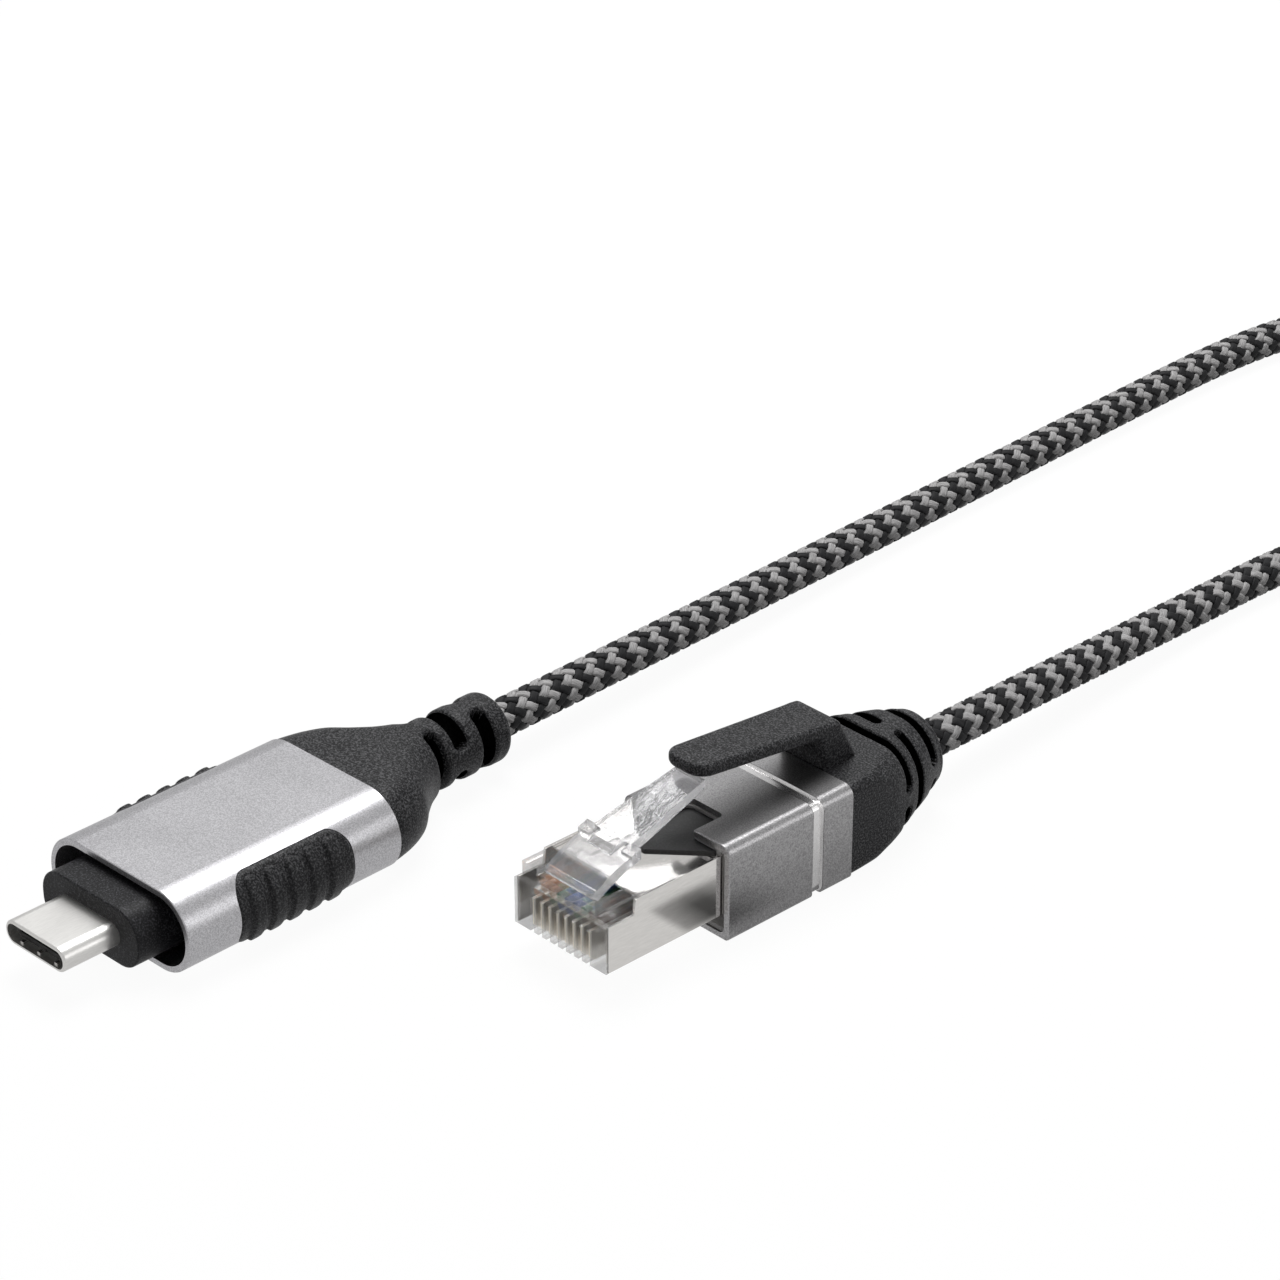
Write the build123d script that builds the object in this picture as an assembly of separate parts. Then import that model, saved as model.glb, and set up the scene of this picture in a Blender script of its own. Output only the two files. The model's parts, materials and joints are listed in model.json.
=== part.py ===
from build123d import *
import math
import os

# A network adapter cable: a USB-C plug on one end, an RJ45 plug on the other.
# Millimetres, +Z up. Each plug is drawn in its own frame, tip at y = 0, cable leaving along +Y,
# floor at z = 0, and is then put in its place on the floor.

# where the two plugs lie
USB_X = -12.43
USB_Y = -39.16
USB_TURN = 2.02
RJ_X = 16.76
RJ_Y = -5.01

# braided cable
CABLE_D = 3.8
CABLE_R = CABLE_D / 2
BORE_R = 1.95

# USB-C end
USB_Z = 4.05
SHELL_W = 8.25
SHELL_H = 2.40
SHELL_WALL = 0.30
COLLAR_W = 13.2
COLLAR_H = 5.8
COLLAR_Y = 5.95
SLEEVE_W = 19.2
SLEEVE_H = 8.1
SLEEVE_Y0 = 9.2
SLEEVE_Y1 = 33.6
SLEEVE_WALL = 0.62
WINDOW_Y0 = 15.0
WINDOW_Y1 = 28.1
WINDOW_H = 7.1
RIB_PITCH = 2.25
RIB_COUNT = 5
RELIEF_END = 53.45
NECK_R = 3.5
RELIEF_SLOTS = (44.4, 47.2, 50.45)
RELIEF_SLOT_W = 1.55
PIN_PITCH = 0.5

# RJ45 end
RJ_Z = 4.8
PLUG_HALF = 5.84
PLUG_Z0 = 2.5
PLUG_Z1 = 8.6
FRONT_Z1 = 7.1
DECK_Z = 8.35
SHEET = 0.28
CONTACT_PITCH = 1.02
RJ_W = 13.4
RJ_H = 9.6
RJ_Y0 = 13.8
RJ_Y1 = 29.2
RJ_WALL = 0.6
GROOVE_Y0 = 24.2
GROOVE_Y1 = 25.5
NOTCH_HALF = 2.25
NOTCH_Y1 = 17.5
BOOT_END = 44.3
BOOT_R = 3.95
BOOT_SLOTS = (37.1, 39.35, 42.3)
BOOT_SLOT_W = 1.05

# latch and the arm over it
LATCH_PIVOT = (1.55, 8.55)
LATCH_R = 0.5
ARM_PIVOT = (29.9, 13.3)
ARM_R = 0.65
ARM_TIP = 14.2
ROOT_HALF = 2.8

# cable lying on the floor: points of the two free stretches, and the coil between them
COIL_X = 38.8
COIL_Y = 142.1
COIL_R = 21.0
USB_RUN = [(-13.70, -3.18, 4.05), (-14.62, 22.9, 4.05), (-19.6, 69.6, 1.92), (-21.64, 106.5, 1.92),
           (-23.4, 142.5, 1.92), (-15.5, 161.2, 1.92), (4.0, 167.5, 1.92), (21.6, 167.0, 1.92), (38.8, 166.9, 1.92)]
RJ_RUN = [(16.76, 28.99, 4.8), (16.76, 48.1, 4.8), (13.7, 81.6, 1.92), (13.8, 101.2, 1.92), (20.0, 112.6, 3.6),
          (32.0, 119.0, 5.21), (44.6, 119.2, 5.21)]


def tube_path(points):
    """Straight runs joined by tangent arcs, each as round as its shorter run allows."""
    radii = []
    for k in range(1, len(points) - 1):
        a = Vector(*points[k]) - Vector(*points[k - 1])
        b = Vector(*points[k + 1]) - Vector(*points[k])
        half = math.radians(a.get_angle(b)) / 2
        radii.append(0.45 * min(a.length, b.length) / math.tan(half))
    return FilletPolyline(*points, radius=radii), radii


def tube(points):
    path, radii = tube_path(points)
    start = Plane(origin=path @ 0, z_dir=path % 0)
    return sweep(start * Circle(CABLE_R), path=path), path.length, radii


def prism(sketch, y0, y1):
    """A sketch drawn in X and Z, run from y0 to y1."""
    return extrude(Plane(origin=(0, y1, 0), x_dir=(1, 0, 0), z_dir=(0, -1, 0)) * sketch, y1 - y0)


def side_prism(sketch, x0, x1):
    """A sketch drawn in Y and Z, run from x0 to x1."""
    return extrude(Plane(origin=(x0, 0, 0), x_dir=(0, 1, 0), z_dir=(1, 0, 0)) * sketch, x1 - x0)


def block(x0, x1, y0, y1, z0, z1):
    return Pos((x0 + x1) / 2, (y0 + y1) / 2, (z0 + z1) / 2) * Box(x1 - x0, y1 - y0, z1 - z0)


def rounded(w, h, r, z):
    return Pos(0, z) * RectangleRounded(w, h, r)


def round_bar(r, y0, y1, z):
    return prism(Pos(0, z) * Circle(r), y0, y1)


def table_at(rows, y):
    """A row of a table at y, on cubics that never pass beyond the rows on either side."""
    steps = [[(b[c] - a[c]) / (b[0] - a[0]) for c in range(1, len(a))] for a, b in zip(rows, rows[1:])]
    k = max(i for i in range(len(steps)) if rows[i][0] <= y)
    span = rows[k + 1][0] - rows[k][0]
    t = (y - rows[k][0]) / span
    out = []
    for c in range(len(rows[0]) - 1):
        here = steps[k][c]
        before = steps[k - 1][c] if k > 0 else 0
        after = steps[k + 1][c] if k + 1 < len(steps) else here
        m0 = 2 * before * here / (before + here) if before * here > 0 else 0
        m1 = 2 * after * here / (after + here) if after * here > 0 else 0
        a, b = rows[k][c + 1], rows[k + 1][c + 1]
        out.append(a * (1 + 2 * t) * (1 - t) ** 2 + m0 * span * t * (1 - t) ** 2
                   + b * t * t * (3 - 2 * t) + m1 * span * t * t * (t - 1))
    return out


def drawn_in(rows, pitch, z):
    """Loft through rounded rectangles given as rows of y, width, height and corner radius."""
    count = round((rows[-1][0] - rows[0][0]) / pitch)
    rings = []
    for k in range(count + 1):
        y = rows[0][0] + (rows[-1][0] - rows[0][0]) * k / count
        w, h, r = table_at(rows, y)
        rings.append(Plane(origin=(0, y, z), x_dir=(1, 0, 0), z_dir=(0, -1, 0)) * RectangleRounded(w, h, r))
    return loft(rings, ruled=True)


def usb_section(grow):
    return Pos(0, USB_Z) * RectangleRounded(SLEEVE_W + 2 * grow, SLEEVE_H + 2 * grow, SLEEVE_H / 2 + grow - 0.01)


# ---------------------------------------------------------------- USB-C end

def usb_plug_shell():
    body = prism(rounded(SHELL_W, SHELL_H, SHELL_H / 2 - 0.03, USB_Z), 0, 11.0)
    body = fillet(body.edges().group_by(Axis.Y)[0], 0.2)
    inside = rounded(SHELL_W - 2 * SHELL_WALL, SHELL_H - 2 * SHELL_WALL, SHELL_H / 2 - SHELL_WALL - 0.03, USB_Z)
    return body - prism(inside, -1, 12)


def usb_plug_insert():
    w = SHELL_W - 2 * SHELL_WALL
    h = SHELL_H - 2 * SHELL_WALL
    body = prism(rounded(w, h, h / 2 - 0.03, USB_Z), 1.0, 11.0)
    return body - block(-3.3, 3.3, 0, 7.0, USB_Z - 0.42, USB_Z + 0.42)


def usb_contacts(side):
    """Twelve spring contacts along one wall of the plug's mouth, with a dimple near the front."""
    wall = USB_Z + side * 0.42
    pins = []
    for k in range(12):
        x = (k - 5.5) * PIN_PITCH
        z0 = min(wall, wall - side * 0.1)
        z1 = max(wall, wall - side * 0.1)
        pins.append(block(x - 0.13, x + 0.13, 1.6, 6.9, z0, z1))
    return Compound(children=pins)


def usb_retention_plate():
    """Flat U of spring steel at mid height, whose arms hold the plug in its socket."""
    z0 = USB_Z - 0.08
    z1 = USB_Z + 0.08
    plate = block(-3.3, 3.3, 6.6, 7.0, z0, z1)
    for s in (-1, 1):
        plate += block(min(s * 3.3, s * 3.05), max(s * 3.3, s * 3.05), 1.4, 6.8, z0, z1)
    return plate


def usb_ground_springs():
    """Three small shield springs just inside the mouth, on the lower wall."""
    springs = []
    for x in (-2.35, 0.0, 2.35):
        springs.append(block(x - 0.2, x + 0.2, 0.35, 0.98, USB_Z - 0.9, USB_Z - 0.74))
    return Compound(children=springs)


def usb_collar():
    boss = prism(rounded(COLLAR_W, COLLAR_H, 2.6, USB_Z), COLLAR_Y, 14.0)
    boss = fillet(boss.edges().group_by(Axis.Y)[0], 0.15)
    flange = prism(usb_section(-SLEEVE_WALL), 13.2, 14.4)
    hole = rounded(SHELL_W, SHELL_H, SHELL_H / 2 - 0.03, USB_Z)
    return boss + flange - prism(hole, 0, 11.0)


def grip_window(grow, side):
    """The rounded-corner opening in one side of the sleeve."""
    length = WINDOW_Y1 - WINDOW_Y0 + 2 * grow
    frame = Pos((WINDOW_Y0 + WINDOW_Y1) / 2, USB_Z) * RectangleRounded(length, WINDOW_H + 2 * grow, 1.9 + grow)
    return side_prism(frame, min(side * 5.6, side * 11), max(side * 5.6, side * 11))


def usb_sleeve():
    body = prism(usb_section(0), SLEEVE_Y0, SLEEVE_Y1)
    body = fillet(body.edges().group_by(Axis.Y)[0], 0.12)
    body -= prism(usb_section(-SLEEVE_WALL), SLEEVE_Y0 - 1, SLEEVE_Y1 + 1)
    for side in (-1, 1):
        body -= grip_window(0, side)
    return body


def usb_grip(side):
    """Rubber side pad filling the sleeve's window, with upright ribs standing proud of it."""
    pad = prism(usb_section(0.1), WINDOW_Y0 - 2, WINDOW_Y1 + 2) & grip_window(0, side)
    middle = (WINDOW_Y0 + WINDOW_Y1) / 2
    proud = prism(rounded(SLEEVE_W + 1.0, 7.0, 3.49, USB_Z), WINDOW_Y0 - 2, WINDOW_Y1 + 2)
    for k in range(RIB_COUNT):
        y = middle + (k - (RIB_COUNT - 1) / 2) * RIB_PITCH
        oval = Pos(y, USB_Z) * (Rot(0, 0, 90) * SlotOverall(6.2, 1.5))
        pad += side_prism(oval, min(side * 5.6, side * 11), max(side * 5.6, side * 11)) & proud
    lip = prism(usb_section(-SLEEVE_WALL), WINDOW_Y0 - 0.5, WINDOW_Y1 + 0.5)
    pad = pad - lip
    backing = lip - prism(usb_section(-SLEEVE_WALL - 0.8), WINDOW_Y0 - 2, WINDOW_Y1 + 2)
    return pad + (backing & grip_window(0.5, side))


def usb_circuit_board():
    return block(-6.9, 6.9, 14.4, 30.2, USB_Z - 0.4, USB_Z + 0.4)


def usb_controller_chip():
    return block(-2.6, 2.6, 16.4, 21.6, USB_Z + 0.4, USB_Z + 1.35)


def usb_transformer():
    body = block(-4.2, 4.2, 18.2, 24.8, USB_Z - 2.7, USB_Z - 0.4)
    return chamfer(body.edges().filter_by(Axis.Z), 0.5)


def usb_crystal():
    return block(-4.9, -1.7, 23.4, 25.9, USB_Z + 0.4, USB_Z + 1.15)


def usb_small_parts():
    """Capacitors and resistors in two rows on the board's upper face."""
    bits = []
    for k in range(4):
        y = 16.6 + k * 1.7
        bits.append(block(3.6, 4.6, y, y + 0.9, USB_Z + 0.4, USB_Z + 0.95))
    for k in range(3):
        x = 0.3 + k * 1.6
        bits.append(block(x, x + 0.9, 24.0, 25.3, USB_Z + 0.4, USB_Z + 0.95))
    return Compound(children=bits)


def usb_cable_ferrule():
    return round_bar(CABLE_R, 30.2, 36.0, USB_Z)


def usb_strain_relief():
    """Wide where it meets the sleeve, drawn in to a slotted round neck."""
    widths = ((33.6, 18.9, 7.9), (35.6, 18.2, 7.9), (38.0, 16.3, 7.9), (40.0, 12.9, 7.7), (42.0, 9.9, 7.45),
              (43.6, 8.2, 7.35), (45.2, 7.1, 7.1))
    body = drawn_in([(y, w, h, h / 2 - 0.05) for y, w, h in widths], 1.1, USB_Z)
    neck = round_bar(NECK_R, 45.0, RELIEF_END, USB_Z)
    neck = fillet(neck.edges().group_by(Axis.Y)[-1], 0.85)
    body += neck
    body += prism(usb_section(-SLEEVE_WALL), 31.4, 33.6)
    for k, y in enumerate(RELIEF_SLOTS):
        body -= slot_ring(y, USB_Z, RELIEF_SLOT_W, 2.5, 6.0, 1.25, 0 if k % 2 == 0 else 90)
    return body - round_bar(BORE_R, 30, 60, USB_Z)


def slot_ring(y, z, width, r_in, r_out, half, turn):
    """Two wrap-around slots in a neck, with two bridges left between their ends, turned about the neck's axis."""
    ring = round_bar(r_out, y - width / 2, y + width / 2, z) - round_bar(r_in, y - 2, y + 2, z)
    return ring - Pos(0, y, z) * (Rot(0, turn, 0) * Box(2 * half, 4, 4 * r_out))


# ---------------------------------------------------------------- RJ45 end

def rj_plug_body():
    """Clear plug: contact comb below, wire channel above it, blocks beside the latch's root."""
    inner = PLUG_HALF - SHEET
    body = block(-inner, inner, 0.3, 20.0, PLUG_Z0 + SHEET, FRONT_Z1)
    body += block(-PLUG_HALF, PLUG_HALF, 0, 0.3, PLUG_Z0, FRONT_Z1)
    body += block(-inner, inner, 0.3, 6.4, PLUG_Z0, PLUG_Z0 + SHEET)
    for s in (-1, 1):
        body += block(min(s * 3.7, s * inner), max(s * 3.7, s * inner), 0.7, 4.2, FRONT_Z1, PLUG_Z1 - 0.02)
        body += block(min(s * 4.9, s * inner), max(s * 4.9, s * inner), 4.2, 20.0, FRONT_Z1, DECK_Z - SHEET)
    body += block(-3.4, 3.4, 0.75, 2.6, FRONT_Z1, 8.0)
    for k in range(8):
        x = (k - 3.5) * CONTACT_PITCH
        body -= block(x - 0.22, x + 0.22, -1, 5.6, 0, 5.85)
    body -= block(-4.35, 4.35, 1.3, 21.0, 5.85, 6.75)
    for deg in (0, -4, -8, -12, -13.5):
        body -= turned(latch_shape(0.06), LATCH_PIVOT, deg)
    return body


def rj_contacts():
    """Eight gold blades, edge down, rounded at the lower front corner."""
    blades = []
    for k in range(8):
        x = (k - 3.5) * CONTACT_PITCH
        blade = block(x - 0.18, x + 0.18, 0.25, 5.4, PLUG_Z0 + 0.3, 5.85)
        blade = fillet(blade.edges().filter_by(Axis.X).sort_by(Axis.Y)[0:1], 0.5)
        blades.append(blade)
    return Compound(children=blades)


def rj_wires(pins):
    wires = []
    for pin in pins:
        x = (pin - 4.5) * CONTACT_PITCH
        wires.append(Pos(x, 0, 0) * round_bar(0.45, 1.45, 20.0, 6.3))
    return Compound(children=wires)


def rj_shield():
    """Folded sheet: two side walls whose top edge steps down at the front, a floor and a deck."""
    inner = PLUG_HALF - SHEET
    sheet = block(-PLUG_HALF, PLUG_HALF, 6.4, 20.0, PLUG_Z0, PLUG_Z0 + SHEET)
    for s in (-1, 1):
        side = Polyline((0.3, PLUG_Z0), (20.0, PLUG_Z0), (20.0, DECK_Z + 0.2), (13.0, PLUG_Z1), (3.5, PLUG_Z1),
                        (3.3, FRONT_Z1), (0.3, FRONT_Z1), close=True)
        sheet += side_prism(make_face(side), min(s * inner, s * PLUG_HALF), max(s * inner, s * PLUG_HALF))
    sheet += block(-inner, inner, 4.25, 20.0, DECK_Z - SHEET, DECK_Z)
    return sheet


def sleeve_notch(grow, r):
    """The latch's opening in the roof of the sleeve, as a column down to the deck."""
    length = NOTCH_Y1 + grow - (RJ_Y0 - 4)
    shape = Pos(0, RJ_Y0 - 4 + length / 2, DECK_Z + 0.01) * RectangleRounded(2 * (NOTCH_HALF + grow), length, r)
    return extrude(shape, 3)


def rj_inner_frame():
    """Grey liner just inside the aluminium sleeve, thicker beside the notch."""
    body = prism(rounded(12.14, 8.34, 0.65, RJ_Z), RJ_Y0 + 0.15, 24.0)
    opening = block(-5.86, 5.86, RJ_Y0 - 1, 25, 1.1, PLUG_Z1 + 0.02)
    for s in (-1, 1):
        opening -= block(min(s * 2.4, s * 5.5), max(s * 2.4, s * 5.5), RJ_Y0 + 0.15, 19, DECK_Z, PLUG_Z1 + 0.02)
    body -= opening
    return body - sleeve_notch(-0.12, 0.9)


def rj_inner_core():
    """Black moulding behind the plug, with a thin tongue reaching forward on the plug's deck."""
    body = prism(rounded(11.6, 7.1, 1.0, 4.75), 20.0, 26.0)
    body -= round_bar(BORE_R, 19, 30, RJ_Z)
    front = Polyline((-4.9, 14.0), (-4.9, 13.8), (-0.4, 9.6), (0.4, 9.6), (4.9, 13.8), (4.9, 14.0), close=True)
    tongue = extrude(Pos(0, 0, DECK_Z) * make_face(front), 0.25)
    tongue += block(-2.1, 2.1, RJ_Y0, 20.5, DECK_Z, DECK_Z + 0.25)
    return body + tongue + block(-2.1, 2.1, 20.0, 21.0, 8.0, DECK_Z + 0.25)


def rj_section(grow, top, bottom):
    """The sleeve's outline, with its own corner radius above and below."""
    shape = Pos(0, RJ_Z) * Rectangle(RJ_W + 2 * grow, RJ_H + 2 * grow)
    shape = fillet(shape.vertices().group_by(Axis.Y)[-1], top)
    return fillet(shape.vertices().group_by(Axis.Y)[0], bottom)


def rj_sleeve():
    """Aluminium sleeve with the latch's notch in front and a cut groove round it near the rear."""
    body = prism(rj_section(0, 1.1, 0.55), RJ_Y0, RJ_Y1)
    body = fillet(body.edges().group_by(Axis.Y)[0], 0.15)
    cut = prism(rounded(RJ_W + 3, RJ_H + 3, 1.5, RJ_Z), GROOVE_Y0, GROOVE_Y1)
    cut -= prism(rj_section(-0.3, 0.85, 0.35), GROOVE_Y0 - 1, GROOVE_Y1 + 1)
    body -= cut
    body -= prism(rounded(RJ_W - 2 * RJ_WALL, RJ_H - 2 * RJ_WALL, 0.7, RJ_Z), RJ_Y0 - 1, RJ_Y1 + 1)
    return body - sleeve_notch(0, 0.55)


def rj_boot():
    """Moulded boot, boxy at the sleeve and round at the cable, carrying the arm's root block."""
    steps = ((29.2, 13.3, 9.5, 0.9), (32.5, 13.3, 9.5, 1.2), (34.6, 13.2, 9.5, 2.2), (36.8, 12.6, 9.4, 3.2),
             (38.6, 11.7, 9.5, 4.2), (40.4, 10.6, 9.3, 4.4), (42.2, 9.2, 8.8, 4.2), (43.6, 8.0, 8.0, 3.9))
    body = drawn_in(steps, 1.1, RJ_Z)
    tip = round_bar(BOOT_R, 43.4, BOOT_END, RJ_Z)
    tip = fillet(tip.edges().group_by(Axis.Y)[-1], 0.5)
    body += tip
    body += prism(rounded(12.1, 8.3, 0.65, RJ_Z), 26.0, 29.2)
    body += arm_root()
    for k, y in enumerate(BOOT_SLOTS):
        body -= slot_ring(y, RJ_Z, BOOT_SLOT_W, 3.0, 8.0, 0.85, 14 if k % 2 else 90)
    return body - round_bar(BORE_R, 20, 50, RJ_Z)


def arm_root():
    side = Polyline((29.3, 8.6), (29.0, 12.5), (29.9, 13.95), (31.4, 13.8), (33.9, 9.0), (33.9, 8.6), close=True)
    root = side_prism(make_face(side), -ROOT_HALF, ROOT_HALF)
    root = fillet(root.edges().filter_by(Axis.Z, reverse=True).filter_by(Axis.X).sort_by(Axis.Y)[-3:-2], 0.25)
    for deg in (0, 3, 6, 9, 12, 13.5):
        root -= turned(arm_shape(0.08), ARM_PIVOT, deg)
    return root


def rj_cable_ferrule():
    return round_bar(CABLE_R, 24.0, 34.0, RJ_Z)


def turned(shape, pivot, deg):
    """A shape swung about an X axis through the pivot."""
    y, z = pivot
    return Pos(0, y, z) * Rot(deg, 0, 0) * Pos(0, -y, -z) * shape


def latch_shape(grow):
    """Clear spring latch: a wide ramp with two shoulders and a catch between them, then a narrower tail."""
    y, z = LATCH_PIVOT
    g = grow
    ramp = Polyline((y, z - LATCH_R - g), (6.4 + g, 10.25 - g), (6.4 + g, 10.95 + g), (4.9, 10.6 + g), (3.2, 10.0 + g),
                    (y, z + LATCH_R + g), close=True)
    body = side_prism(make_face(ramp), -3.1 - g, 3.1 + g)
    body += Pos(0, y, z) * (Rot(0, 90, 0) * Cylinder(LATCH_R + g, 6.2 + 2 * g))
    ears = Polyline((5.3 - g, 9.95 - g), (6.4 + g, 10.3 - g), (6.4 + g, 11.35 + g), (5.3 - g, 11.0 + g), close=True)
    for s in (-1, 1):
        body += side_prism(make_face(ears), min(s * (3.4 + g), s * (2.0 - g)), max(s * (3.4 + g), s * (2.0 - g)))
    catch = Polyline((4.6 - g, 10.2 - g), (4.7 - g, 10.65 + g), (5.2 - g, 11.25 + g), (6.6 + g, 11.4 + g), (6.6 + g, 10.6),
                     close=True)
    body += side_prism(make_face(catch), -1.45 - g, 1.45 + g)
    tail = Polyline((6.2, 10.3 - g), (15.6 + g, 12.85 - g), (15.6 + g, 13.75 + g), (6.2, 11.35 + g), close=True)
    blade = side_prism(make_face(tail), -2.3 - g, 2.3 + g)
    trim = Polyline((2.3 + g, 5.0), (2.3 + g, 8.0), (1.65 + g, 16.5), (4.0, 16.5), (4.0, 5.0), close=True)
    for s in (-1, 1):
        cut = Pos(0, 0, 9) * extrude(make_face(trim), 6)
        if s < 0:
            cut = mirror(cut, Plane.YZ)
        blade -= cut
    return body + blade


def arm_shape(grow):
    """Cover arm over the latch, rounded at its tip and hung from a round end at its root."""
    y, z = ARM_PIVOT
    g = grow
    side = Polyline((y, z - ARM_R - g), (ARM_TIP - g, 14.33 - g), (ARM_TIP - g, 15.7 + g), (y, z + ARM_R + g), close=True)
    body = side_prism(make_face(side), -ROOT_HALF - g, ROOT_HALF + g)
    body += Pos(0, y, z) * (Rot(0, 90, 0) * Cylinder(ARM_R + g, 2 * ROOT_HALF + 2 * g))
    outline = Polyline((-2.45 - g, ARM_TIP - g), (2.45 + g, ARM_TIP - g), (2.5 + g, 23.0), (ROOT_HALF + g, y), (ROOT_HALF + g, 33),
                       (-ROOT_HALF - g, 33), (-ROOT_HALF - g, y), (-2.5 - g, 23.0), close=True)
    plan = make_face(outline)
    plan = fillet(plan.vertices().group_by(Axis.Y)[0], 1.3)
    return body & extrude(Pos(0, 0, 5) * plan, 20)


# ---------------------------------------------------------------- cable coil

def cable_coil():
    """Outer shape of the turns: three side by side on the floor and two in the furrows above."""
    low = CABLE_R + 0.02
    high = low + CABLE_D * math.sqrt(3) / 2
    half = CABLE_D + CABLE_R
    section = Pos(COIL_R, low) * SlotOverall(2 * half, CABLE_D)
    section += Pos(COIL_R, high) * SlotOverall(2 * half - CABLE_D, CABLE_D)
    section += Pos(COIL_R, (low + high) / 2) * Rectangle(2 * half - CABLE_D, high - low)
    return Pos(COIL_X, COIL_Y, 0) * revolve(Plane.XZ * section, Axis.Z, 360)


# ---------------------------------------------------------------- files

def at_usb(shape):
    return Pos(USB_X, USB_Y, 0) * Rot(0, 0, USB_TURN) * shape


def at_rj(shape):
    return Pos(RJ_X, RJ_Y, 0) * shape


os.makedirs("parts", exist_ok=True)

USB_PARTS = {
    "usb_plug_shell": usb_plug_shell(),
    "usb_plug_insert": usb_plug_insert(),
    "usb_contacts_upper": usb_contacts(1),
    "usb_contacts_lower": usb_contacts(-1),
    "usb_retention_plate": usb_retention_plate(),
    "usb_ground_springs": usb_ground_springs(),
    "usb_collar": usb_collar(),
    "usb_sleeve": usb_sleeve(),
    "usb_grip_right": usb_grip(1),
    "usb_grip_left": usb_grip(-1),
    "usb_circuit_board": usb_circuit_board(),
    "usb_controller_chip": usb_controller_chip(),
    "usb_transformer": usb_transformer(),
    "usb_crystal": usb_crystal(),
    "usb_small_parts": usb_small_parts(),
    "usb_cable_ferrule": usb_cable_ferrule(),
    "usb_strain_relief": usb_strain_relief(),
}

RJ_PARTS = {
    "rj_plug_body": rj_plug_body(),
    "rj_contacts": rj_contacts(),
    "rj_wires_orange": rj_wires((1, 2)),
    "rj_wires_green": rj_wires((3, 6)),
    "rj_wires_blue": rj_wires((4, 5)),
    "rj_wires_brown": rj_wires((7, 8)),
    "rj_shield": rj_shield(),
    "rj_inner_frame": rj_inner_frame(),
    "rj_inner_core": rj_inner_core(),
    "rj_sleeve": rj_sleeve(),
    "rj_boot": rj_boot(),
    "rj_cable_ferrule": rj_cable_ferrule(),
    "rj_latch": latch_shape(0),
    "rj_latch_arm": arm_shape(0),
}

usb_tube, usb_length, usb_radii = tube(USB_RUN)
rj_tube, rj_length, rj_radii = tube(RJ_RUN)
print("usb run", round(usb_length, 1), "mm, radii", [round(r, 1) for r in usb_radii])
print("rj run", round(rj_length, 1), "mm, radii", [round(r, 1) for r in rj_radii])
print("volume against section times length",
      round(usb_tube.volume / (math.pi * CABLE_R ** 2 * usb_length), 4),
      round(rj_tube.volume / (math.pi * CABLE_R ** 2 * rj_length), 4))

PARTS = {name: at_usb(shape) for name, shape in USB_PARTS.items()}
PARTS.update({name: at_rj(shape) for name, shape in RJ_PARTS.items()})
PARTS["cable_run_usb"] = usb_tube
PARTS["cable_run_rj"] = rj_tube
PARTS["cable_coil"] = cable_coil()

for name, shape in PARTS.items():
    export_step(shape, "parts/" + name + ".step")
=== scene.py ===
import json
import math

import bmesh
import bpy
import numpy as np
from mathutils import Matrix, Vector


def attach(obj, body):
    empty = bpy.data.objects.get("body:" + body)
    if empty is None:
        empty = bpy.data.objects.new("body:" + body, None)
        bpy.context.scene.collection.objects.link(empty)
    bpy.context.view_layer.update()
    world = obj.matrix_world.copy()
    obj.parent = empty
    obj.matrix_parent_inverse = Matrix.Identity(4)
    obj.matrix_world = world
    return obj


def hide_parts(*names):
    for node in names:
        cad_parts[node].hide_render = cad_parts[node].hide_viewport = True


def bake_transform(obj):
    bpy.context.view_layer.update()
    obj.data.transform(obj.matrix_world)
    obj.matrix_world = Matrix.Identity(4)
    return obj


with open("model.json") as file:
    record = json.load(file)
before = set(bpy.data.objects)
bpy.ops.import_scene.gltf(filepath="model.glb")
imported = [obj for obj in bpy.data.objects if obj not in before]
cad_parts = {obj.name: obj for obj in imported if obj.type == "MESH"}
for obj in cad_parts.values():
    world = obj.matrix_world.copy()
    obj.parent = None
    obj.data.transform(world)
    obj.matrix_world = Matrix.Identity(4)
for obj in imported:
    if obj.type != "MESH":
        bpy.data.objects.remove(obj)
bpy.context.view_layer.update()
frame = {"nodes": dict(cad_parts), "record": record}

MM = 0.001
BODY = "cable_and_plugs"
NODES = frame["nodes"]

# where the two plugs lie, as in the CAD
USB_TURN = Matrix.Rotation(math.radians(2.02), 4, "Z")
USB_PLACE = Matrix.Translation(Vector((-12.43, -39.16, 0.0)) * MM) @ USB_TURN
RJ_PLACE = Matrix.Translation(Vector((16.76, -5.01, 0.0)) * MM)


# ------------------------------------------------------------------ camera

FOCAL_MM = 112.5
SENSOR_MM = 36.0
CAMERA_AT = Vector((232.25, -198.48, 191.65)) * MM
CAMERA_LOOK = Vector((-0.6382135, 0.6010274, -0.4810921)).normalized()


def make_camera():
    data = bpy.data.cameras.new("camera")
    data.lens = FOCAL_MM
    data.sensor_width = SENSOR_MM
    data.clip_start = 0.01
    data.clip_end = 10.0
    cam = bpy.data.objects.new("camera", data)
    bpy.context.collection.objects.link(cam)
    right = CAMERA_LOOK.cross(Vector((0, 0, 1))).normalized()
    up = right.cross(CAMERA_LOOK)
    turn = Matrix((right, up, -CAMERA_LOOK)).transposed().to_4x4()
    cam.matrix_world = Matrix.Translation(CAMERA_AT) @ turn
    bpy.context.scene.camera = cam


make_camera()

# ------------------------------------------------------------------ materials

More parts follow.
